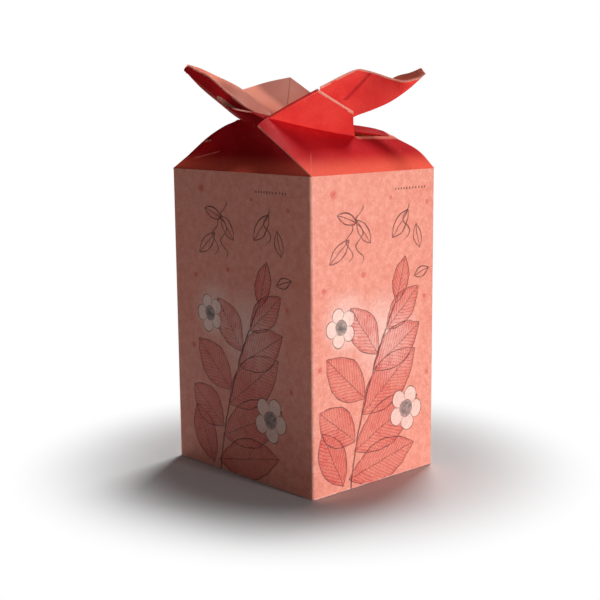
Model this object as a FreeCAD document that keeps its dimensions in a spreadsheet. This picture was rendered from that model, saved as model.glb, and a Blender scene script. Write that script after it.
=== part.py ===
"""Shut tea carton: a card sleeve whose four walls fold in at the top to a sloping shoulder,
and fold out again above it as two petals and two wings.

Frame: millimetres, +Z up, origin at the centre of the base. The wide walls face -Y and +Y, the
narrow walls -X and +X. The closure looks the same when the carton makes half a turn about Z.
"""
import FreeCAD, Part
import os
import Sketcher
from FreeCAD import Vector

# Driving sizes. Rises are measured up from the shoulder crease, and insets inwards from the
# outside of the walls.
SIZES = {
    "wide_wall": 84.0,          # width of the two wide walls, along X
    "narrow_wall": 68.0,        # width of the two narrow walls, along Y
    "wall_height": 123.0,       # base to shoulder crease
    "edge_round": 1.2,          # rounding of the upright edges
    "board": 0.7,               # thickness of the card
    "root_depth": 1.6,          # how far a flap runs into the fold that it grows from
    # Sloping panels, which lean in from the narrow walls.
    "crease_inset": 30.0,       # upper end of the corner crease, from the narrow wall
    "crease_rise": 18.0,
    "slot_inset": 22.0,         # cut edge of the slope, from the narrow wall
    "slot_rise": 12.5,
    "slot_length": 26.0,        # cut edge, from the wide wall inwards
    # Gussets, which are tucked in below the wide walls' ends of the slopes.
    "gusset_inset": 14.0,       # deepest point, from the wide wall
    "gusset_shift": 2.5,        # deepest point, sideways from the middle
    "gusset_rise": 15.0,
    "neck_rise": 17.0,          # middle of the neck
    # Petals, which stand on the slopes.
    "petal_root_inset": 5.5,    # foot of the petal's fold, from the wide wall
    "petal_root_rise": 20.0,
    "peak_wall_inset": 15.5,    # peak, from the narrow wall
    "peak_side_inset": 18.5,    # peak, from the wide wall
    "peak_rise": 33.0,
    "corner_wall_inset": 13.0,  # lower corner at the slot, from the narrow wall
    "corner_side_inset": 36.0,
    "corner_rise": 23.0,
    # Wings, which run from the neck out over two opposite corners.
    "ridge_root_x": 9.0,        # folded lower edge at the neck, from the middle
    "ridge_root_y": 21.0,
    "ridge_root_rise": 18.5,
    "tip_wall_inset": 4.5,      # tip, from the narrow wall
    "tip_side_inset": 2.5,      # tip, from the wide wall
    "tip_rise": 42.0,
    "tip_cut": 4.0,             # height of the short cut across the tip
    "crest_x": 20.0,            # highest middle point of the tall layer, from the middle
    "crest_y": 16.0,
    "crest_rise": 36.0,
    "tall_end_rise": 29.0,      # where the tall layer passes the neck
    "low_edge_x": 10.0,         # middle of the low layer's upper edge, from the middle
    "low_edge_y": 23.5,
    "low_edge_rise": 26.0,
    "low_end_rise": 21.5,       # where the low layer meets the petal's fold
}
SHEET_NAME = "sizes"
UP = Vector(0, 0, 1)


def fill_sheet(doc):
    """Write the driving sizes to the spreadsheet, one aliased row for each."""
    sheet = doc.addObject("Spreadsheet::Sheet", SHEET_NAME)
    for row, (name, value) in enumerate(SIZES.items(), start=1):
        sheet.set(f"A{row}", name)
        sheet.set(f"B{row}", str(value))
        sheet.setAlias(f"B{row}", name)
    doc.recompute()
    return sheet


def origin_plane(body, role):
    """One of a body's own origin planes."""
    return next(f for f in body.Origin.OriginFeatures if f.Role == role)


def make_sleeve(doc):
    """The four walls as one block with rounded upright edges, tall enough for the shoulder."""
    body = doc.addObject("PartDesign::Body", "sleeve")
    sketch = body.newObject("Sketcher::SketchObject", "sleeve_outline")
    sketch.AttachmentSupport = (origin_plane(body, "XY_Plane"), "")
    sketch.MapMode = "FlatFace"
    half_x, half_y = SIZES["wide_wall"] / 2, SIZES["narrow_wall"] / 2
    corners = [Vector(-half_x, -half_y, 0), Vector(half_x, -half_y, 0),
               Vector(half_x, half_y, 0), Vector(-half_x, half_y, 0)]
    for i, corner in enumerate(corners):
        sketch.addGeometry(Part.LineSegment(corner, corners[(i + 1) % 4]), False)
    for i in range(4):
        sketch.addConstraint(Sketcher.Constraint("Coincident", i, 2, (i + 1) % 4, 1))
    for i, kind in enumerate(("Horizontal", "Vertical", "Horizontal", "Vertical")):
        sketch.addConstraint(Sketcher.Constraint(kind, i))
    sketch.addConstraint(Sketcher.Constraint("Symmetric", 0, 1, 2, 1, -1, 1))
    width = sketch.addConstraint(Sketcher.Constraint("DistanceX", 0, 1, 0, 2, 2 * half_x))
    depth = sketch.addConstraint(Sketcher.Constraint("DistanceY", 1, 1, 1, 2, 2 * half_y))
    sketch.setExpression(f"Constraints[{width}]", f"{SHEET_NAME}.wide_wall")
    sketch.setExpression(f"Constraints[{depth}]", f"{SHEET_NAME}.narrow_wall")
    pad = body.newObject("PartDesign::Pad", "sleeve_block")
    pad.Profile = sketch
    pad.setExpression("Length", f"{SHEET_NAME}.wall_height + {SHEET_NAME}.petal_root_rise")
    doc.recompute()
    rounds = body.newObject("PartDesign::Fillet", "upright_rounds")
    upright = [f"Edge{i}" for i, edge in enumerate(pad.Shape.Edges, start=1)
               if abs(edge.tangentAt(edge.FirstParameter).z) > 0.99]
    rounds.Base = (pad, upright)
    rounds.setExpression("Radius", f"{SHEET_NAME}.edge_round")
    body.Tip = rounds
    return body


class Folds:
    """The corner points of the closure, worked out from the sheet's sizes.

    Points are those of the half that faces +X and +Y; half_turn gives the other half.
    """

    def __init__(self, sheet):
        s = {name: float(sheet.get(name)) for name in SIZES}
        x, y, top = s["wide_wall"] / 2, s["narrow_wall"] / 2, s["wall_height"]
        self.board, self.root_depth, self.top = s["board"], s["root_depth"], top
        self.front, self.right = Vector(x, -y, top), Vector(x, y, top)
        self.crease_end = Vector(x - s["crease_inset"], -y, top + s["crease_rise"])
        self.slot_side = Vector(x - s["slot_inset"], y, top + s["slot_rise"])
        self.slot_end = Vector(x - s["slot_inset"], y - s["slot_length"], top + s["slot_rise"])
        self.gusset = Vector(s["gusset_shift"], y - s["gusset_inset"], top + s["gusset_rise"])
        self.neck = Vector(0, 0, top + s["neck_rise"])
        self.petal_root = Vector(x - s["crease_inset"], s["petal_root_inset"] - y,
                                 top + s["petal_root_rise"])
        self.peak = Vector(x - s["peak_wall_inset"], s["peak_side_inset"] - y,
                           top + s["peak_rise"])
        self.corner = Vector(x - s["corner_wall_inset"], s["corner_side_inset"] - y,
                             top + s["corner_rise"])
        self.ridge_root = Vector(s["ridge_root_x"], s["ridge_root_y"],
                                 top + s["ridge_root_rise"])
        tip_x, tip_y = x - s["tip_wall_inset"], y - s["tip_side_inset"]
        self.tip = Vector(tip_x, tip_y, top + s["tip_rise"])
        self.tip_foot = self.tip - Vector(0, 0, s["tip_cut"])
        self.crest = Vector(s["crest_x"], s["crest_y"], top + s["crest_rise"])
        self.tall_end = Vector(0, 0, top + s["tall_end_rise"])
        self.low_edge = Vector(s["low_edge_x"], s["low_edge_y"], top + s["low_edge_rise"])
        self.low_end = half_turn(self.petal_root)
        self.low_end.z = top + s["low_end_rise"]


def half_turn(point):
    """The matching point of the other half."""
    return Vector(-point.x, -point.y, point.z)


def closed_solid(faces):
    """A solid from flat faces, each a list of corner points."""
    shell = Part.Shell([Part.Face(Part.makePolygon(f + f[:1])) for f in faces])
    solid = Part.Solid(shell)
    if solid.Volume < 0:
        solid.reverse()
    return solid


def folded_sheet(triangles, thickness):
    """Card of one thickness, centred on a run of joined triangles."""
    pieces = []
    for corners in triangles:
        outline = [corner - thickness * 0.5 for corner in corners]
        pieces.append(Part.Face(Part.makePolygon(outline + outline[:1])).extrude(thickness))
    return pieces[0].multiFuse(pieces[1:]).removeSplitter()


def shoulder_solid(folds):
    """Everything under the slopes and gussets, from the base up to the neck."""
    f = folds
    drop = Vector(0, 0, -f.top)
    rim = [f.front, f.right, half_turn(f.front), half_turn(f.right)]
    faces = [[p + drop for p in rim]]
    for a, b in zip(rim, rim[1:] + rim[:1]):
        faces.append([a, b, b + drop, a + drop])
    half = [
        [f.front, f.right, f.slot_side],
        [f.front, f.slot_side, f.slot_end],
        [f.front, f.slot_end, f.crease_end],
        [f.right, half_turn(f.front), f.gusset],
        [f.right, f.gusset, f.slot_side],
        [half_turn(f.front), half_turn(f.crease_end), f.gusset],
        [f.crease_end, f.slot_end, f.neck],
        [f.slot_end, f.slot_side, f.neck],
        [f.slot_side, f.gusset, f.neck],
        [f.gusset, half_turn(f.crease_end), f.neck],
    ]
    faces += half + [[half_turn(p) for p in face] for face in half]
    return closed_solid(faces)


def petal_solid(folds):
    """The petal on the +X slope: it stands on the crease and leans out over the slope."""
    f = folds
    sink = Vector(-f.root_depth, 0, -f.root_depth)
    foot, slot_foot = f.petal_root + sink, f.slot_end + sink
    inward = Vector(-f.board, 0, 0)
    return folded_sheet([[foot, slot_foot, f.peak], [slot_foot, f.corner, f.peak]], inward)


def wing_solid(folds):
    """The wing over the +X +Y corner: two layers of card that share the folded lower edge."""
    f = folds
    root = f.ridge_root - Vector(0, 0, f.root_depth)
    neck = f.neck - Vector(0, 0, f.root_depth)
    low_foot = (f.low_end + half_turn(f.crease_end)) * 0.5 - Vector(0, 0, f.root_depth)
    tall = folded_sheet([[root, f.tip_foot, f.crest], [f.tip_foot, f.tip, f.crest],
                         [neck, root, f.crest], [neck, f.crest, f.tall_end]],
                        Vector(0, f.board, 0))
    low = folded_sheet([[root, f.tip_foot, f.low_edge], [f.tip_foot, f.tip, f.low_edge],
                        [low_foot, root, f.low_edge], [low_foot, f.low_edge, f.low_end]],
                       Vector(0, -f.board, 0))
    return tall.fuse(low)


def add_feature(doc, name, shape, turn=0):
    """A document object that holds a shape made from the sheet's sizes, turned about Z."""
    feature = doc.addObject("Part::Feature", name)
    feature.Shape = shape
    feature.Placement = FreeCAD.Placement(Vector(0, 0, 0), FreeCAD.Rotation(UP, turn))
    return feature


def build(doc):
    """The carton as one fused piece."""
    sheet = fill_sheet(doc)
    folds = Folds(sheet)
    sleeve = make_sleeve(doc)
    shoulder = add_feature(doc, "shoulder", shoulder_solid(folds))
    core = doc.addObject("Part::Common", "core")
    core.Base, core.Tool = sleeve, shoulder
    flaps = []
    for side, turn in (("near", 0), ("far", 180)):
        flaps.append(add_feature(doc, f"{side}_petal", petal_solid(folds), turn))
        flaps.append(add_feature(doc, f"{side}_wing", wing_solid(folds), turn))
    carton = doc.addObject("Part::MultiFuse", "tea_carton")
    carton.Shapes = [core] + flaps
    carton.Label = "tea_carton"
    doc.recompute()
    return [carton]


def check(doc, subparts):
    """Stop on any object that failed, and on any piece that isn't one valid solid."""
    for item in doc.Objects:
        if {"Invalid", "Error"} & set(item.State):
            raise RuntimeError(f"{item.Name} failed: {item.State}")
    for item in subparts:
        shape = item.Shape
        if shape.isNull() or not shape.isValid() or len(shape.Solids) != 1:
            raise RuntimeError(f"{item.Label} isn't one valid solid")


document = FreeCAD.newDocument("tea_carton")
pieces = build(document)
check(document, pieces)
os.makedirs("parts", exist_ok=True)
for piece in pieces:
    piece.Shape.exportStep(f"parts/{piece.Label}.step")
    box = piece.Shape.BoundBox
    print(piece.Label, f"{box.XLength:.1f} x {box.YLength:.1f} x {box.ZLength:.1f} mm,",
          f"{piece.Shape.Volume / 1000:.0f} cm3")
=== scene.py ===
import math

import bpy
from mathutils import Matrix, Vector


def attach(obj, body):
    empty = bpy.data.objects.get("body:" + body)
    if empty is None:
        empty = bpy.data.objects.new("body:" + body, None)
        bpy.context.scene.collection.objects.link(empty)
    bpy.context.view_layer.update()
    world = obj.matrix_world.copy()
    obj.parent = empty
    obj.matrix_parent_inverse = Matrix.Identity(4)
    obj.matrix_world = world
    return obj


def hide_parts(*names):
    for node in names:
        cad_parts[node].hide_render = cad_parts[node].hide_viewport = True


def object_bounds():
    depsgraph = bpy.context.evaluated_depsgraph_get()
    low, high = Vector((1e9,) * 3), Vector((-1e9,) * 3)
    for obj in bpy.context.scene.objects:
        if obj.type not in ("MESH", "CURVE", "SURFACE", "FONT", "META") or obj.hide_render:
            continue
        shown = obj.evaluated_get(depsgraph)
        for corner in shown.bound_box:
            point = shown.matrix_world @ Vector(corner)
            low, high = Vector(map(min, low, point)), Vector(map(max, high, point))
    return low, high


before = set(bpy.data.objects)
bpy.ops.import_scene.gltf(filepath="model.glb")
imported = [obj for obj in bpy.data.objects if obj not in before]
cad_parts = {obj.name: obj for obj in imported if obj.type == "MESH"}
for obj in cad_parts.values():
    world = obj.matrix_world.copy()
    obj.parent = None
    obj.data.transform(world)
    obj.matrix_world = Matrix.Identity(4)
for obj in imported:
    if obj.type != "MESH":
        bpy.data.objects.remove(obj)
cad_low, cad_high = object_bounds()

# ---------------------------------------------------------------------------------------------
# Sleeve: the four upright walls of the carton, folded from one sheet of coated card round
# softly rounded corners. The print is a watercolour ground with sprigs of tea leaves.
# ---------------------------------------------------------------------------------------------
MM = 0.001
NODE = "tea_carton"
half_x = cad_high.x
half_y = cad_high.y
CLOSURE_RISE = 42 * MM          # shoulder crease to the wing tips
shoulder = cad_high.z - CLOSURE_RISE
CORNER_RADIUS = 1.3 * MM


class Wire:
    """A socket that takes part in Python sums: each operator adds one Math node."""

    def __init__(self, material, socket):
        self.material, self.socket = material, socket

    def _math(self, operation, *values):
        return self.material.node("ShaderNodeMath", values, operation=operation)

    def __add__(self, other):
        return self._math("ADD", self, other)

    def __sub__(self, other):
        return self._math("SUBTRACT", self, other)

    def __mul__(self, other):
        return self._math("MULTIPLY", self, other)

    def __truediv__(self, other):
        return self._math("DIVIDE", self, other)

    def __rsub__(self, other):
        return self._math("SUBTRACT", other, self)

    __radd__ = __add__
    __rmul__ = __mul__

    def power(self, other):
        return self._math("POWER", self, other)

    def size(self):
        return self._math("ABSOLUTE", self)

    def sine(self):
        return self._math("SINE", self)

    def cosine(self):
        return self._math("COSINE", self)

    def bearing(self, other):
        """The angle whose tangent is this over the other, all the way round."""
        return self._math("ARCTAN2", self, other)

    def reach(self, other):
        """How far a point is from 0, when it is this far one way and that far the other."""
        return (self.power(2) + other.power(2)).power(0.5)

    def sign(self):
        return self._math("SIGN", self)

    def least(self, other):
        return self._math("MINIMUM", self, other)

    def most(self, other):
        return self._math("MAXIMUM", self, other)

    def over(self, other):
        return self._math("GREATER_THAN", self, other)

    def fade(self, start, end):
        """0 at start and 1 at end, eased between them."""
        inputs = {"Value": self, "From Min": start, "From Max": end}
        return self.material.node("ShaderNodeMapRange", inputs, interpolation_type="SMOOTHSTEP")

    def line(self, width):
        """A drawn line of about this width where the wire is 0."""
        return 1 - self.size().fade(width * 0.3, width * 0.75)


class Finish:
    """A material with a Principled shader, built up by method calls."""

    def __init__(self, name, roughness=0.55, specular=0.3):
        self.material = bpy.data.materials.new(name)
        self.material.use_nodes = True
        self.tree = self.material.node_tree
        self.shader = self.tree.nodes["Principled BSDF"]
        self.shader.inputs["Roughness"].default_value = roughness
        self.shader.inputs["Specular IOR Level"].default_value = specular
        self.place = self.node("ShaderNodeTexCoord", output="Object")

    def node(self, kind, inputs=(), output=0, **settings):
        """Add a node: its settings first, then its sockets by name or in order."""
        node = self.tree.nodes.new(kind)
        for name, value in settings.items():
            setattr(node, name, value)
        pairs = inputs.items() if isinstance(inputs, dict) else enumerate(inputs)
        for key, value in pairs:
            if isinstance(value, Wire):
                self.tree.links.new(value.socket, node.inputs[key])
            else:
                node.inputs[key].default_value = value
        return Wire(self, node.outputs[output])

    def noise(self, scale, detail=3, rough=0.5, at=None, stretch=None):
        """Soft noise from 0 to 1, in features of about 1 / scale metres."""
        vector = at or self.place
        if stretch:
            vector = self.node("ShaderNodeMapping", {"Vector": vector, "Scale": stretch})
        return self.node("ShaderNodeTexNoise", {"Vector": vector, "Scale": scale, "Detail": detail,
                                                "Roughness": rough})

    def mix(self, factor, first, second):
        """Blend two colours: inputs 6 and 7 and output 2 are the Mix node's colour sockets."""
        return self.node("ShaderNodeMix", {"Factor": factor, 6: first, 7: second}, output=2,
                         data_type="RGBA")

    def xyz(self, place=None):
        """The Object coordinates, or another place, as three wires."""
        place = place or self.place
        return [self.node("ShaderNodeSeparateXYZ", [place], output=axis) for axis in range(3)]

    def feed(self, socket, value):
        self.tree.links.new(value.socket, self.shader.inputs[socket])

    def bump(self, height, strength, distance):
        self.feed("Normal", self.node("ShaderNodeBump", {"Height": height, "Strength": strength,
                                                         "Distance": distance}))


def rgb(red, green, blue):
    """A linear colour from sRGB numbers of 0 to 255."""
    def linear(part):
        part /= 255
        return part / 12.92 if part <= 0.04045 else ((part + 0.055) / 1.055) ** 2.4
    return linear(red), linear(green), linear(blue), 1.0


# The print, in millimetres from a wall's middle line and up from its foot. A leaf is its foot,
# its lean from level in degrees, its length and half its width.
SPRIG = [(-15, 4, 12, 38, 8.5), (-18, 2, 116, 26, 7), (-12, 15, 24, 40, 9.5),
         (-11.5, 19, 143, 24, 8), (-8, 29, 36, 38, 9.5), (-6, 35, 138, 28, 8),
         (-1.5, 46, 30, 31, 8), (1, 52, 127, 25, 7), (6, 61, 40, 24, 6), (11.5, 71, 74, 19, 4.5)]
DRIFTING = [(-25, 90, 38, 13, 2.8), (-3, 96, 128, 12, 2.6), (9, 97, 48, 14, 3),
            (25, 92, 104, 10, 2.3), (-21, 108, -18, 11, 2.3), (22, 81, 15, 9, 2.1)]
BLOSSOMS = [(17.5, 27, 9.5, 0.4), (-19, 65, 8, 1.5)]                    # middle, radius, turn
BLOTS = [(-23, 115.5, 2.4), (-28, 80, 1.8), (28, 72, 1.6), (-7, 84, 1.7), (29, 110, 1.5),
         (30, 40, 1.5), (-30, 50, 1.7), (8, 113, 1.2), (-12, 104, 1.1)]     # middle, radius
STEAM = [(-14.5, 97, 9, 0.0), (-9, 100, 12, 1.2), (17, 103, 8, 2.1)]    # middle, half height, start
GLOW = [(6, 58, 24), (-16, 66, 16)]     # pale patches behind the sprig: middle, radius
GLOW_HEART = 4 * MM                     # radius of the palest part of a patch
STEM_FOOT, STEM_TIP = -14 * MM, 70 * MM     # across the wall at its foot, and its height
STEM_LEAN, STEM_CURVE = 0.12, 3.3
BEADS_X, BEADS_Y = 19 * MM, 116 * MM    # middle of the row of beads
BEADS_HALF = 9.2 * MM                   # half its length
HATCH_STEP, BEAD_STEP = 1.9 * MM, 1.7 * MM
CURL_STEP, CURL_SWING = 5 * MM, 1.9 * MM    # half a wave of steam, and how far it swings
PEN, FINE_PEN, BROAD_PEN = 0.52 * MM, 0.4 * MM, 0.7 * MM
WAVER = 1.6 * MM                        # how far a hand-drawn line strays in all
HEART = 0.36                            # a blossom's heart, as a share of its radius
SALMON, LIGHT_SALMON, DEEP_SALMON = rgb(236, 146, 126), rgb(248, 166, 146), rgb(232, 118, 100)
GLOW_PINK, BLOT_RED, LEAF_RED = rgb(255, 220, 208), rgb(216, 66, 56), rgb(204, 40, 38)
INK, BLOSSOM_INK = rgb(66, 20, 24), rgb(58, 34, 38)
BLOSSOM_PINK, HEART_GREY = rgb(255, 224, 212), rgb(66, 74, 76)
DARK_GRAIN, LIGHT_GRAIN = rgb(206, 96, 82), rgb(255, 205, 190)
WORN_CORE, SEAM_SHADE = rgb(255, 208, 194), rgb(150, 70, 60)
GRAIN, GRAIN_DEPTH = 1300, 0.06 * MM    # scale and depth of the card's fine grain
WORN = 1.1 * MM                         # how far in the corners and the foot are worn
SEAM_INSET = 1.8 * MM                   # the glued seam, from its corner


def leaf(across, up, foot_x, foot_y, lean, length, width):
    """How far a point is inside a leaf, its distance from the midrib, and its run along the leaf."""
    turn = math.radians(lean)
    c, s = math.cos(turn), math.sin(turn)
    run = across * c + up * s - (foot_x * c + foot_y * s) * MM
    side = (up * c - across * s - (foot_y * c - foot_x * s) * MM).size()
    share = run / (length * MM)
    inside = share * (1 - share) * (4 * width * MM) - side
    return inside, side, run


def printed_card():
    """Coated card: a salmon wash with blots, a red hatched tea sprig and fine dark pen lines."""
    card = Finish("printed_card", roughness=0.5, specular=0.35)
    sheet = card.node("ShaderNodeUVMap", uv_map="print")
    plain_across, plain_up, _ = card.xyz(sheet)
    across = plain_across + (card.noise(130, detail=2, at=sheet) - 0.5) * WAVER
    lift = card.noise(150, detail=2, at=sheet, stretch=(1, 1.4, 1))
    up = plain_up + (lift - 0.5) * WAVER
    grain = card.noise(GRAIN, detail=2)
    wash = card.noise(300, detail=5, rough=0.65, at=sheet)
    cloud = card.noise(38, detail=3, at=sheet)
    pressure = card.noise(260, detail=2, at=sheet).fade(0.25, 0.6)

    colour = card.mix(wash.fade(0.3, 0.7), SALMON, LIGHT_SALMON)
    colour = card.mix(cloud.fade(0.45, 0.8) * 0.35, colour, DEEP_SALMON)
    glow = 0.0
    for x, y, radius in GLOW:
        away = (across - x * MM).reach(up - y * MM)
        glow = (1 - away.fade(GLOW_HEART, radius * MM)).most(glow)
    colour = card.mix(glow * (wash * 0.6 + 0.3), colour, GLOW_PINK)
    blot = 0.0
    for x, y, radius in BLOTS:
        away = (across - x * MM).reach(up - y * MM)
        blot = (1 - away.fade(0.3 * radius * MM, radius * MM)).most(blot)
    colour = card.mix(blot * 0.6, colour, BLOT_RED)

    fill, edge, rib, hatch = -1.0, 1.0, 1.0, 0.0
    for shape in SPRIG:
        inside, side, run = leaf(across, up, *shape)
        fill, edge = inside.most(fill), inside.size().least(edge)
        rib = side.most(0 - inside).least(rib)
        veins = ((run - side * 1.1) * (2 * math.pi / HATCH_STEP) + wash * 5).sine()
        hatch = (veins * inside.over(0)).most(hatch)
    body = fill.fade(-0.5 * MM, 0.7 * MM)
    pigment = wash.fade(0.35, 0.7) * 0.3 + hatch.fade(0.1, 0.9) * 0.34 + cloud.fade(0.4, 0.6) * 0.16
    rim = 1 - (fill - 0.5 * MM).size().fade(0.2 * MM, 1.2 * MM)
    colour = card.mix(body * (pigment + rim * 0.18 + 0.12), colour, LEAF_RED)
    stem = across - up * STEM_LEAN - up.power(2) * STEM_CURVE - STEM_FOOT
    ink = edge.line(FINE_PEN).most(rib.line(0.35 * MM) * 0.7)
    ink = ink.most(stem.line(BROAD_PEN) * (1 - up.fade(STEM_TIP, STEM_TIP + 2 * MM)))
    for shape in DRIFTING:
        inside, side, _ = leaf(across, up, *shape)
        ink = inside.line(PEN).most(side.most(0 - inside).line(FINE_PEN)).most(ink)
    for x, y, half, begin in STEAM:
        wave = across - x * MM - (up * (math.pi / CURL_STEP) + begin).sine() * CURL_SWING
        height = 1 - (up - y * MM).size().fade((half - 3) * MM, half * MM)
        ink = (wave.line(0.6 * MM) * height).most(ink)
    beads = (across * (2 * math.pi / BEAD_STEP)).sine().fade(0.1, 0.5)
    beads = beads * (plain_up - BEADS_Y).line(0.8 * MM)
    beads = beads * (across - BEADS_X).size().fade(BEADS_HALF, BEADS_HALF - 0.2 * MM)
    ink = beads.most(ink)
    colour = card.mix(ink * (pressure * 0.4 + 0.5), colour, INK)

    for x, y, radius, begin in BLOSSOMS:
        aside, above = across - x * MM, up - y * MM
        reach = aside.reach(above)
        lobe = (above.bearing(aside) * 2.5 + begin).cosine().size()
        inside = (lobe.power(0.6) * 0.42 + 0.58) * (radius * MM) - reach
        body = inside.fade(-0.2 * MM, 0.5 * MM)
        colour = card.mix(body * (wash * 0.5 + 0.5), colour, BLOSSOM_PINK)
        heart = 1 - reach.fade(0.3 * radius * MM, HEART * radius * MM)
        colour = card.mix(heart * (wash.fade(0.35, 0.65) * 0.5 + 0.45), colour, HEART_GREY)
        drawn = inside.line(FINE_PEN).most((reach - HEART * radius * MM).line(FINE_PEN))
        gap = (1 - lobe.fade(0.06, 0.16)) * reach.over(0.4 * radius * MM) * inside.over(0)
        drawn = drawn.most(gap * 0.6)
        colour = card.mix(drawn * (pressure * 0.35 + 0.45), colour, BLOSSOM_INK)

    colour = card.mix(grain.fade(0.4, 0.72) * 0.2, colour, DARK_GRAIN)
    colour = card.mix(grain.fade(0.45, 0.28) * 0.22, colour, LIGHT_GRAIN)
    x, y, z = card.xyz()
    corner = (half_x - x.size()).most(half_y - y.size())
    scuff = card.noise(420, detail=4).fade(0.45, 0.7)
    worn = (1 - corner.fade(0.2 * MM, WORN)).most(1 - z.fade(0.2 * MM, WORN - 0.2 * MM))
    colour = card.mix(worn * (scuff * 0.6 + 0.1), colour, WORN_CORE)
    seam = (y - half_y + SEAM_INSET).line(0.35 * MM) * (0 - x).over(half_x - MM)
    colour = card.mix(seam * 0.8, colour, SEAM_SHADE)
    card.feed("Base Color", colour)
    card.feed("Roughness", grain * 0.16 + 0.44)
    card.bump(grain - seam * 1.5, 0.16, GRAIN_DEPTH)
    return card


def own(piece, *finishes):
    """Give a finished piece its materials, and let it stand for the carton's solid."""
    for finish in finishes:
        piece.data.materials.append(finish.material)
    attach(piece, "root")
    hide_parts(NODE)


def start(name):
    """Name the primitive that was just added."""
    piece = bpy.context.object
    piece.name = piece.data.name = name
    return piece


def card_box(name, middle, size):
    """A box of card, in place, before it is shaped."""
    bpy.ops.object.select_all(action="DESELECT")
    bpy.ops.mesh.primitive_cube_add(size=1, location=middle, scale=size)
    piece = start(name)
    bpy.ops.object.transform_apply(location=True, rotation=True, scale=True)
    return piece


def pick(piece, kind, wanted):
    """Go into edit mode with only the edges or faces of a piece selected that pass a test."""
    bpy.ops.object.select_all(action="DESELECT")
    bpy.context.view_layer.objects.active = piece
    piece.select_set(True)
    bpy.ops.object.mode_set(mode="EDIT")
    bpy.ops.mesh.select_mode(type=kind)
    bpy.ops.mesh.select_all(action="DESELECT")
    bpy.ops.object.mode_set(mode="OBJECT")
    parts = piece.data.edges if kind == "EDGE" else piece.data.polygons
    for part in parts:
        part.select = wanted(part)
    bpy.ops.object.mode_set(mode="EDIT")


def ends(piece, edge):
    """The places of an edge's two ends."""
    return [piece.data.vertices[i].co for i in edge.vertices]


def upright(piece, edge):
    """Whether an edge runs up, and not along a wall or a flap."""
    low_end, high_end = ends(piece, edge)
    return low_end.xy == high_end.xy


PRINTED = printed_card()

sleeve = card_box("sleeve", (0, 0, shoulder / 2), (2 * half_x, 2 * half_y, shoulder))
pick(sleeve, "EDGE", lambda edge: upright(sleeve, edge))
bpy.ops.mesh.bevel(offset=CORNER_RADIUS, segments=5, affect="EDGES")
bpy.ops.object.mode_set(mode="OBJECT")
bpy.ops.object.shade_smooth_by_angle(angle=math.radians(30))
layer = sleeve.data.uv_layers[0]
layer.name = "print"
for face in sleeve.data.polygons:       # left to right across each wall, and up it
    wide = abs(face.normal.y) > abs(face.normal.x)
    for loop in face.loop_indices:
        p = sleeve.data.vertices[sleeve.data.loops[loop].vertex_index].co
        if wide:
            level = -math.copysign(p.x, p.x * face.normal.y)
        else:
            level = math.copysign(p.y, p.y * face.normal.x)
        layer.data[loop].uv = (level, p.z)
own(sleeve, PRINTED)

# ---------------------------------------------------------------------------------------------
# Base: the foot of the carton is closed by a full flap with a shorter flap glued over it, both
# of the same card, a little way up inside the walls.
# ---------------------------------------------------------------------------------------------
CARD = 0.45 * MM                # thickness of the card
FLAP_GAP = 0.8 * MM             # between a flap's sides and the outside of the walls
RECESS = 1.3 * MM               # height of the inner flap's upper side
INNER_CORNER, OUTER_CORNER = 3 * MM, 9 * MM     # radii of the flaps' free corners
OUTER_REACH = 16 * MM           # the outer flap ends this far past the middle


def cut_edge_and_highlight():
    """The card's pale fibrous core, where it is cut; also a painted highlight on a facet of the left
    wing.
    """
    card = Finish("cut_edge_and_highlight", roughness=0.8)
    fibre = card.noise(900, detail=3)
    card.feed("Base Color", card.mix(fibre, rgb(226, 134, 116), rgb(242, 168, 150)))
    return card


def plain_card():
    """The same coated card with only the salmon wash."""
    card = Finish("plain_card", roughness=0.52)
    wash = card.noise(160, detail=5, rough=0.6)
    grain = card.noise(GRAIN, detail=2)
    colour = card.mix(wash.fade(0.3, 0.7), rgb(234, 142, 122), rgb(247, 165, 146))
    card.feed("Base Color", card.mix(grain.fade(0.4, 0.7) * 0.2, colour, DARK_GRAIN))
    card.bump(grain, 0.16, GRAIN_DEPTH)
    return card


PLAIN, EDGE = plain_card(), cut_edge_and_highlight()


def base_flap(name, near, far, low, corner):
    """A flat flap from one y to another, its two free corners cut round."""
    middle = (near + far) / 2
    size = (2 * half_x - 2 * FLAP_GAP, far - near, CARD)
    piece = card_box(name, (0, middle, low + CARD / 2), size)
    pick(piece, "EDGE", lambda edge: upright(piece, edge) and ends(piece, edge)[0].y < middle)
    bpy.ops.mesh.bevel(offset=corner, segments=8, affect="EDGES")
    bpy.ops.object.mode_set(mode="OBJECT")
    own(piece, PLAIN, EDGE)
    for face in piece.data.polygons:        # the cut sides show the core
        face.material_index = 1 if abs(face.normal.z) < 0.5 else 0


pick(sleeve, "FACE", lambda face: face.normal.z < -0.5)
bpy.ops.mesh.inset(thickness=0.6 * MM, depth=0)
bpy.ops.transform.translate(value=(0, 0, RECESS))
bpy.ops.object.mode_set(mode="OBJECT")
base_flap("base_inner_flap", FLAP_GAP - half_y, half_y - FLAP_GAP, RECESS - CARD, INNER_CORNER)
base_flap("base_outer_flap", -OUTER_REACH, half_y - FLAP_GAP, RECESS - 2.1 * CARD, OUTER_CORNER)

# ---------------------------------------------------------------------------------------------
# Slopes: above the shoulder crease the two narrow walls lean in at full width. Their outside
# is printed plain red; the inside is a paler salmon, and the cut edges show the pale core.
# ---------------------------------------------------------------------------------------------
# pale marks: the card's worn core on slopes and gussets, and painted highlight on the left wing's
# fold
PALE_CORE_AND_HIGHLIGHT = rgb(242, 132, 112)
PAINTED_LIT_FOOT = rgb(252, 100, 78)           # painted light: the red is lighter and warmer just above the shoulder crease, where it is lit
RED_GRAIN = 1500                        # scale of the red print's grain
edge_x = half_x / MM                    # the sheets' outer edges, in millimetres
edge_y = half_y / MM - 0.35


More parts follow.
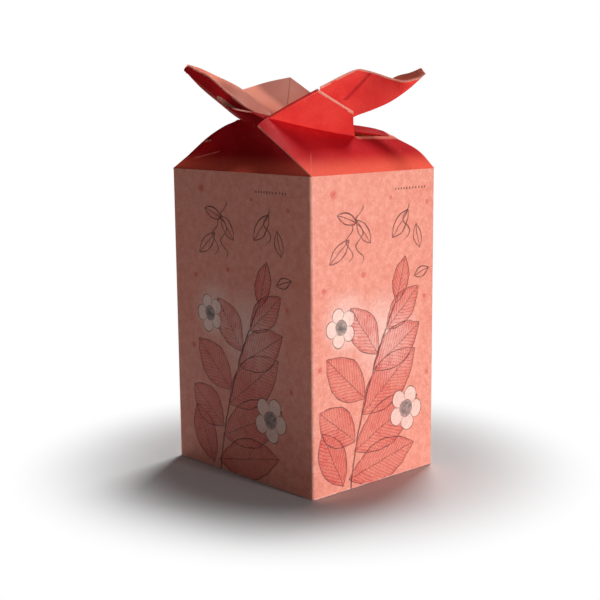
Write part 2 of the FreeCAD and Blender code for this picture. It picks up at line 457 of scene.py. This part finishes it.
def red_card(name, deep, light, mark=None, mark_colour=PALE_CORE_AND_HIGHLIGHT):
    """Plain red print: mottled, changed where it is marked, and painted light above the shoulder
    crease.
    """
    card = Finish(name, roughness=0.6, specular=0.05)
    x, y, z = card.xyz()
    wash = card.noise(70, detail=4)
    fleck = card.noise(420, detail=4, rough=0.65)
    grain = card.noise(RED_GRAIN, detail=2)
    colour = card.mix(wash.fade(0.3, 0.7), deep, light)
    # painted light: lighter and warmer near the shoulder crease, darker higher up as painted shade
    colour = card.mix(1 - z.fade(shoulder + 0.5 * MM, shoulder + 7.5 * MM), colour, PAINTED_LIT_FOOT)
    colour = card.mix(grain.fade(0.35, 0.7) * 0.18, colour, rgb(192, 34, 38))
    colour = card.mix(fleck.fade(0.62, 0.72) * 0.25, colour, rgb(240, 120, 105))
    height = grain
    if mark:
        # marks are wear on slopes and gussets, painted shade on the right wing and painted highlight
        # on the left wing
        mark_amount = mark(x, y, z)
        colour = card.mix(mark_amount * (fleck * 0.8 + 0.25), colour, mark_colour)
        height = grain - mark_amount * 3
    card.feed("Base Color", colour)
    card.feed("Roughness", grain * 0.18 + 0.46)
    card.bump(height, 0.14, GRAIN_DEPTH)
    return card


def slope_mark(x, y, z):
    """A faint crease from each slope's left corner, wear at its slot, and a pale line along one
    folded side.
    """
    along_wall = y * x.sign()
    across = (x * 16 + y * 17.3) * x.sign() / 23.6
    low = 1 - z.fade(shoulder + 6 * MM, shoulder + 9 * MM)
    crease = (across - 3.55 * MM).line(0.3 * MM) * low * 0.6
    cut = (z + along_wall * 0.036 - shoulder - 13.1 * MM).line(1.5 * MM) * along_wall.over(8 * MM)
    rim = (along_wall - edge_y * MM).line(0.9 * MM) * x.over(0)
    return crease.most(cut * 1.2).most(rim * 0.9)


def inner_card():
    """The unprinted inside of the card."""
    card = Finish("inner_card", roughness=0.6)
    wash = card.noise(70, detail=4)
    colour = card.mix(wash.fade(0.3, 0.7), rgb(252, 151, 126), rgb(255, 164, 139))
    card.feed("Base Color", colour)
    return card


RED = red_card("red_card", rgb(230, 56, 54), rgb(242, 74, 66))
# painted shade: the slopes take a darker copy of the red print
SHADED_SLOPE_RED = red_card("slope_card_painted_shade", rgb(188, 18, 28), rgb(206, 30, 36), slope_mark)
INNER = inner_card()


def fold(x, y, rise):
    """A point of the closure: millimetres from the middle, and up from the shoulder crease."""
    return Vector((x * MM, y * MM, shoulder + rise * MM))


def turned(rows):
    """The same sheet on the carton's other side, half a turn round."""
    return [[Vector((-p.x, -p.y, p.z)) for p in row] for row in rows]


def along(points, share):
    """The point at a share of the length of a smooth line through some points."""
    steps = [(b - a).length for a, b in zip(points, points[1:])]
    reach = share * sum(steps)
    for i, step in enumerate(steps):
        if reach <= step or i == len(steps) - 1:
            break
        reach -= step
    a, b = points[i], points[i + 1]
    before = points[i - 1] if i else a * 2 - b
    after = points[i + 2] if i + 2 < len(points) else b * 2 - a
    t = min(1.0, reach / step) if step else 0.0
    lead, trail = (b - before) / 2, (after - a) / 2
    return (a * (2 * t**3 - 3 * t**2 + 1) + b * (3 * t**2 - 2 * t**3)
            + lead * (t**3 - 2 * t**2 + t) + trail * (t**3 - t**2))


def spread(points, steps):
    """Points spaced evenly along a smooth line."""
    return [along(points, i / steps) for i in range(steps + 1)]


def recolour(piece, old, new, points, reach):
    """Give faces of one finish another one where they lie near some points."""
    for face in piece.data.polygons:
        if face.material_index == old and any((face.center - p).length < reach for p in points):
            face.material_index = new


OUTSIDE, INSIDE, RIM = 0, 1, 2          # a sheet's finishes, in the order of its material slots
SIDE_STEPS = 60                         # a side of a sheet is followed in this many steps
WORN_BACK = 0.62 * MM                   # the print is worn back this far from a frayed edge


def card_sheet(name, rows, folded=(), frayed=(), outside=RED, thickness=CARD, across=28, up=16):
    """A bent sheet of card through rows of points, lowest first and left to right from outside.

    folded lists the sides where the card runs on round a fold, which show print and no core.
    frayed lists the cut sides where the print is worn back from the edge.
    """
    bpy.ops.object.select_all(action="DESELECT")
    bpy.ops.mesh.primitive_grid_add(x_subdivisions=across, y_subdivisions=up, size=2)
    piece = start(name)
    for vertex in piece.data.vertices:
        u, v = (vertex.co.x + 1) / 2, (vertex.co.y + 1) / 2
        vertex.co = along([along(row, u) for row in rows], v)
    wall = piece.modifiers.new("card", "SOLIDIFY")
    wall.thickness, wall.offset = thickness, -1
    wall.material_offset, wall.material_offset_rim = INSIDE, RIM
    own(piece, outside, INNER, EDGE)
    bpy.ops.object.modifier_apply(modifier=wall.name)
    sides = {"left": [row[0] for row in rows], "right": [row[-1] for row in rows],
             "low": rows[0], "high": rows[-1]}
    for side in folded:
        recolour(piece, RIM, OUTSIDE, spread(sides[side], SIDE_STEPS), 2 * thickness)
    for side in frayed:
        recolour(piece, OUTSIDE, RIM, spread(sides[side], SIDE_STEPS), WORN_BACK)
    bpy.ops.object.shade_smooth_by_angle(angle=math.radians(35))
    return piece


crease_foot = fold(12, -edge_y, 17.8)       # upper end of the front corner crease
slot_end = fold(22.3, 8.3, 13)              # inner end of the cut across the slope
slot_mid = fold(20.7, 21, 12.6)
slot_side = fold(19.2, edge_y, 12.1)        # outer end of that cut
petal_foot = fold(12, -28.3, 20.6)          # where the near petal's valley starts
valley = [petal_foot, fold(15.5, -16, 17.8), fold(19, -4, 15.2), slot_end]
slope_foot = [fold(edge_x - 0.1, -edge_y, 0), fold(edge_x - 0.1, edge_y, 0)]
slope_head = [crease_foot] + valley + [slot_mid, slot_side]
card_sheet("near_slope", [
    slope_foot,
    [fold(27.2, -edge_y, 9.2), fold(29.2, -15, 9.6), fold(33, 8, 6.8), fold(33, edge_y, 6.9)],
    slope_head,
], outside=SHADED_SLOPE_RED)
far_slope = card_sheet("far_slope", turned([
    slope_foot,
    [fold(27.2, -edge_y, 9.2), fold(29.2, -15, 9.6), fold(32, 8, 7), fold(29.6, edge_y, 6)],
    slope_head,
]), folded=("right",), outside=SHADED_SLOPE_RED)
for face in far_slope.data.polygons:        # the print with its painted shade shows on its inside too, next to the gusset
    if face.material_index == INSIDE and face.center.y < -20 * MM:
        face.material_index = OUTSIDE

# ---------------------------------------------------------------------------------------------
# Gussets: the two wide walls are tucked in between the slopes, in the same red card, painted
# darker as shade. Each rounds over at its head into the neck.
# ---------------------------------------------------------------------------------------------
def gusset_mark(x, y, z):
    """A short worn crease near the outer corner of each gusset."""
    along_wall = x * y.sign()
    rise = z - shoulder - 4.4 * MM + (along_wall - 29 * MM) * 0.24
    return rise.line(0.5 * MM) * (along_wall - 23 * MM).size().fade(7 * MM, 5 * MM)


# painted shade: the gussets take a darker copy of the red print
SHADED_GUSSET_RED = red_card("gusset_card_painted_shade", rgb(172, 12, 20), rgb(190, 22, 28), gusset_mark)
neck_left = fold(-10.6, -23.3, 19.9)
front_gusset_rows = [
    [fold(-edge_x + 0.2, -edge_y, 0), fold(edge_x - 0.2, -edge_y, 0)],
    [fold(-30.6, -33.5, 6.1), fold(-14, -28, 8.5), fold(4, -25.5, 9), fold(27, -33.2, 8.8)],
    [fold(-19.2, -33.65, 12.1), fold(-17.2, -31.4, 14.4), fold(-14.2, -28.1, 17.4),
     fold(-12, -25.2, 19), neck_left, fold(3.3, -26, 18.7), crease_foot],
]
card_sheet("front_gusset", front_gusset_rows, folded=("left", "high"), outside=SHADED_GUSSET_RED)
back_gusset_rows = [
    [fold(edge_x - 0.2, edge_y, 0), fold(-edge_x + 0.2, edge_y, 0)],
    [fold(30.5, 33.2, 6.6), fold(14, 28, 8.5), fold(-4, 25.5, 9), fold(-27, 33.2, 8.8)],
    [slot_side, fold(14.8, 33, 14.1), fold(9.1, 31, 15.5), fold(2, 29.5, 16.4), fold(-3.3, 28, 17),
     fold(-12, edge_y, 17.8)],
    [fold(18.6, 31, 12), fold(14.5, 27.5, 13.2), fold(9.5, 22.5, 14.2), fold(2, 19, 15),
     fold(-5, 20, 16.5), fold(-12, 28, 18)],
]
card_sheet("back_gusset", back_gusset_rows, folded=("left", "high"), outside=SHADED_GUSSET_RED)

# ---------------------------------------------------------------------------------------------
# Petals: past the neck each slope bends back out over itself. A leaf folded back behind the
# petal joins it to the next wall.
# ---------------------------------------------------------------------------------------------
PETAL_CARD = 1.9 * CARD         # the near petal reads thicker, as its worn edge has spread
near_peak = fold(26.4, -15.6, 31.1)
card_sheet("near_petal", [
    valley,
    [fold(19.3, -22.1, 26), fold(25.2, 4.6, 17.6)],
    [near_peak, fold(28.4, 1.3, 22.2)],
], folded=("left", "low"), frayed=("high",), thickness=PETAL_CARD, across=40, up=26)
card_sheet("near_petal_leaf", [
    [fold(3.4, -19.9, 21.2), petal_foot],
    [fold(14, -6, 26), near_peak],
], folded=("left", "right", "low"))
far_peak = fold(-25.2, 16.9, 36.4)
far_bend = fold(-14.5, 5.5, 21.3)
far_valley = fold(-16.8, 11, 16.6)
card_sheet("far_petal", [
    [far_valley, fold(-19.4, 1, 14.8), fold(-22.3, -8.3, 13)],
    [far_bend, fold(-20.6, -1.6, 19.3), fold(-26.4, -6.4, 18.8)],
    [far_peak, fold(-30.3, 8.2, 34.4), fold(-34.6, -2.1, 31.3)],
], folded=("low",))
card_sheet("far_petal_side", [
    [fold(-12, 28.3, 20.6), far_valley],
    [fold(-12.6, 27, 22.6), far_bend],
    [fold(-14, 24.5, 26.6), far_peak],
], folded=("low",))

# ---------------------------------------------------------------------------------------------
# Wings: two opposite corner creases run on past the neck as the folded lower edges of wings.
# Each wing is two layers of card, pinched together at the tip.
# ---------------------------------------------------------------------------------------------
# painted shade for the right wing's soft crease
CREASE_SHADE_RED = rgb(150, 16, 26)
WING_CARD = 1.6 * CARD                      # the right wing reads thicker, for the same reason
FACET_REACH = 0.9 * MM                      # half the width of the painted highlight on the left wing's facet
layer_gap = Vector((-0.8, 0.75, 0.1)) * MM  # from a wing's front layer to its back layer


def painted_crease_shade(x, y, z):
    """Painted shade along a soft crease across the right wing's front layer, which the bump also
    dents.
    """
    lean = (x - 12.6 * MM) * 0.79 - (z - shoulder - 29.5 * MM) * 0.61
    return lean.line(0.9 * MM) * 0.7 * z.over(shoulder + 27 * MM)


WING = red_card("wing_card", rgb(234, 58, 56), rgb(246, 78, 70), painted_crease_shade, CREASE_SHADE_RED)


def painted_fold_highlight(x, y, z):
    """Painted highlight along the folded lower edge of the left wing, where its rounded fold is lit.
    """
    ridge = z - shoulder - 19.6 * MM + (x + 10 * MM) * 0.64
    return ridge.line(3.2 * MM) * 0.5


# painted shade: the left wing's front takes a darker copy of the red print, with a painted highlight
# along its fold
SHADED_WING_RED = red_card("left_wing_card_painted_shade", rgb(176, 14, 22), rgb(194, 26, 32), painted_fold_highlight)
right_tip = fold(38, 32.3, 37)
right_ridge = [fold(12.1, 17.6, 20.1), fold(18.4, 22.2, 23), fold(24.4, 26.5, 26.2),
               fold(31.4, 29.6, 31.1), right_tip]
card_sheet("right_wing_front", [
    [fold(1, 8, 12), fold(5, 12, 13), fold(8.6, 14.8, 16)] + right_ridge,
    [fold(5.2, 5.7, 32.3), fold(14.3, 15.5, 38.7), fold(18.4, 19.9, 38.5), fold(27, 24.9, 35.2),
     fold(31.6, 26.9, 34.2), fold(36, 30.6, 35.5), right_tip],
], folded=("low", "left"), frayed=("high",), outside=WING, thickness=WING_CARD, across=60, up=48)
card_sheet("right_wing_back", [
    [p + layer_gap for p in right_ridge[::-1]]
    + [fold(7, 18, 15), fold(-3.3, 26, 15.4), fold(-11.2, 27.7, 17.6)],
    [fold(35.5, 32.6, 39.4), fold(30, 32.6, 37.6), fold(21.1, 31.2, 35.3),
     fold(10.4, 25, 26.3), fold(3.6, 21.6, 23.2), fold(-5.7, 23.4, 21.1)],
], folded=("low", "right"))
left_tip = fold(-36.6, -30.8, 39.7)
left_wing = card_sheet("left_wing_front", [
    [left_tip, fold(-30, -28.1, 32.9), fold(-22.7, -24.6, 26.6), neck_left, fold(3.3, -26, 18.7),
     fold(11.2, -27.7, 20.6)],
    [left_tip, fold(-29.8, -28.3, 34.1), fold(-21.3, -26, 27.6), fold(-11.8, -26.1, 23.6),
     fold(-3.4, -24.3, 22.6), fold(6.4, -25.5, 20.8)],
    [fold(-35.8, -30.7, 40.4), fold(-27.6, -28.4, 35.9), fold(-19.9, -26, 28.7),
     fold(-12, -23.3, 24.9), fold(-4.4, -22.5, 22.8), fold(5.7, -23.4, 21.1)],
    [fold(-33.5, -30.4, 41.4), fold(-28.9, -28.4, 38.9), fold(-22.5, -27.3, 35.9),
     fold(-10.4, -23, 26.3), fold(-3.6, -21.6, 23.2), fold(3.4, -19.9, 21.6)],
], folded=("low", "right"), frayed=("high",), outside=SHADED_WING_RED, across=70, up=44)
turn_up = [fold(-20.4, -26.1, 28.2), fold(-12, -24.8, 24.3), fold(-4, -23.5, 22.7)]
# painted highlight: a facet where the left wing's fold turns up takes the pale cut edge finish
recolour(left_wing, OUTSIDE, RIM, spread(turn_up, 40), FACET_REACH)
card_sheet("left_wing_back", [
    [p + layer_gap for p in (fold(-1, -9, 12), fold(-6, -13.5, 13.4), fold(-12.1, -18.6, 20),
                             fold(-22.7, -24.6, 26.6), fold(-30, -28.1, 32.9), left_tip)],
    [fold(-13.1, -5.4, 22), fold(-23.9, -11.2, 31.6), fold(-30.1, -20.9, 37.6),
     fold(-33.9, -24.9, 40.2), fold(-37.2, -28.5, 41.7)],
], folded=("low", "left"))

# ---------------------------------------------------------------------------------------------
# Neck: inside the ring of petals and wings the four walls are tucked down to the middle, so
# that the carton is shut. Its pale inner sides meet in shallow pleats.
# ---------------------------------------------------------------------------------------------
PLEATS, PLEAT_DEPTH = 4, 1.2 * MM
NECK_FLOOR = shoulder + 11 * MM     # height of the tucked-in middle


def tucked(points, count, inset, drop):
    """Points spaced along a rim, but for its end, moved in towards the middle and down."""
    rim = spread(points, count)[:-1]
    return [Vector((p.x * inset, p.y * inset, p.z - drop * MM)) for p in rim]


slot = [slot_end, slot_mid, slot_side]
back_head, front_head = back_gusset_rows[2][:-1], front_gusset_rows[2][:-1]
ring = tucked(valley, count=8, inset=0.985, drop=0.3)
ring += tucked(slot, count=5, inset=0.93, drop=1)
ring += tucked(back_head, count=6, inset=0.84, drop=3.2)
ring += tucked(turned([valley])[0], count=8, inset=0.985, drop=0.3)
ring += tucked(turned([slot])[0], count=5, inset=0.88, drop=2)
ring += tucked(front_head, count=6, inset=0.8, drop=4)
bpy.ops.object.select_all(action="DESELECT")
bpy.ops.mesh.primitive_circle_add(vertices=len(ring), radius=1, fill_type="TRIFAN")
neck = start("neck")
bpy.ops.object.mode_set(mode="EDIT")
bpy.ops.mesh.select_all(action="SELECT")
bpy.ops.mesh.subdivide(number_cuts=7)
bpy.ops.object.mode_set(mode="OBJECT")
for vertex in neck.data.vertices:
    out = vertex.co.length
    bearing = math.atan2(vertex.co.x, vertex.co.y) % (2 * math.pi)
    step = bearing / (2 * math.pi) * len(ring)
    i = int(step) % len(ring)
    # from above the bearing grows clockwise, and the ring's points run the other way
    rim = ring[-i].lerp(ring[-i - 1], step - int(step))
    pleat = math.sin(PLEATS * bearing) * PLEAT_DEPTH * out * (1 - out)
    height = NECK_FLOOR + (rim.z - NECK_FLOOR) * out**1.6 + pleat
    vertex.co = (rim.x * out, rim.y * out, height)
wall = neck.modifiers.new("card", "SOLIDIFY")
wall.thickness, wall.offset = CARD, -1
own(neck, INNER)
bpy.ops.object.modifier_apply(modifier=wall.name)
bpy.ops.object.shade_smooth_by_angle(angle=math.radians(30))

# ---------------------------------------------------------------------------------------------
# Studio: a plain pale floor that turns white away from the carton, a low key light on the
# right, a high light from behind, and a weak fill in front. All the light is white.
# ---------------------------------------------------------------------------------------------
FLOOR_DROP = 0.2 * MM                           # just under the foot
SHADOW_NEAR, SHADOW_FAR = 55 * MM, 125 * MM     # the floor turns white between these radii
AMBIENT = 0.06

bpy.ops.object.select_all(action="DESELECT")
bpy.ops.mesh.primitive_plane_add(size=6, location=(0, 0, -FLOOR_DROP))
floor = start("floor")
studio = Finish("studio_floor", roughness=0.9, specular=0.0)
studio.shader.inputs["Base Color"].default_value = (0.8, 0.8, 0.8, 1)
across, deep, _ = studio.xyz()
glow = studio.node("ShaderNodeEmission", {"Color": (1, 1, 1, 1), "Strength": 1.0})
seen = studio.node("ShaderNodeLightPath", output="Is Camera Ray")
share = across.reach(deep).fade(SHADOW_NEAR, SHADOW_FAR) * seen
matt = Wire(studio, studio.shader.outputs[0])
blend = studio.node("ShaderNodeMixShader", [share, matt, glow])
studio.tree.links.new(blend.socket, studio.tree.nodes["Material Output"].inputs["Surface"])
floor.data.materials.append(studio.material)

world = bpy.data.worlds.new("studio")
bpy.context.scene.world = world
world.use_nodes = True
sky = world.node_tree
ambient = sky.nodes["Background"]
ambient.inputs["Color"].default_value = (1, 1, 1, 1)
ambient.inputs["Strength"].default_value = AMBIENT
white = sky.nodes.new("ShaderNodeBackground")
white.inputs["Color"].default_value = (1, 1, 1, 1)
rays = sky.nodes.new("ShaderNodeLightPath")
choice = sky.nodes.new("ShaderNodeMixShader")
sky.links.new(rays.outputs["Is Camera Ray"], choice.inputs[0])
sky.links.new(ambient.outputs[0], choice.inputs[1])
sky.links.new(white.outputs[0], choice.inputs[2])
sky.links.new(choice.outputs[0], sky.nodes["World Output"].inputs["Surface"])


def bearing_to(azimuth, elevation):
    """The direction from the carton to a lamp or the camera: azimuth is from -y towards +x."""
    a, e = math.radians(azimuth), math.radians(elevation)
    return Vector((math.sin(a) * math.cos(e), -math.cos(a) * math.cos(e), math.sin(e)))


def panel_light(name, azimuth, elevation, distance, size, power):
    """A square soft light that faces a point a little above the carton's middle."""
    back = bearing_to(azimuth, elevation)
    light = bpy.data.lights.new(name, "AREA")
    light.energy, light.size = power, size
    lamp = bpy.data.objects.new(name, light)
    lamp.location = Vector((0, 0, cad_high.z * 0.6)) + back * distance
    lamp.rotation_mode = "QUATERNION"
    lamp.rotation_quaternion = (-back).to_track_quat("-Z", "Y")
    bpy.context.collection.objects.link(lamp)


panel_light("key", azimuth=93, elevation=-2, distance=1.2, size=0.1, power=11)
panel_light("top", azimuth=206, elevation=66, distance=1.0, size=0.22, power=6)
panel_light("front_fill", azimuth=20, elevation=15, distance=1.4, size=0.8, power=0.4)

# ---------------------------------------------------------------------------------------------
# Camera: it stands in front of the carton's front corner and a little above, and sees the
# whole of it with both near walls.
# ---------------------------------------------------------------------------------------------
VIEW_AZIMUTH, VIEW_ELEVATION, VIEW_ROLL = 47.32, 10.47, -0.51       # degrees
VIEW_DISTANCE = 0.4995                  # metres, from the middle of the sleeve
SENSOR, LENS = 36, 72                   # millimetres
SHIFT_ACROSS, SHIFT_UP = -0.005, 0.0277

view = bpy.data.cameras.new("camera")
view.sensor_width, view.lens = SENSOR, LENS
view.shift_x, view.shift_y = SHIFT_ACROSS, SHIFT_UP
view.clip_start = 0.01
camera = bpy.data.objects.new("camera", view)
back = bearing_to(VIEW_AZIMUTH, VIEW_ELEVATION)
camera.location = Vector((0, 0, shoulder / 2)) + back * VIEW_DISTANCE
camera.rotation_mode = "QUATERNION"
level = (-back).to_track_quat("-Z", "Y").to_matrix()
roll = Matrix.Rotation(math.radians(VIEW_ROLL), 3, "Z")
camera.rotation_quaternion = (level @ roll).to_quaternion()
bpy.context.collection.objects.link(camera)
bpy.context.scene.camera = camera
bpy.context.scene.view_settings.view_transform = "Standard"
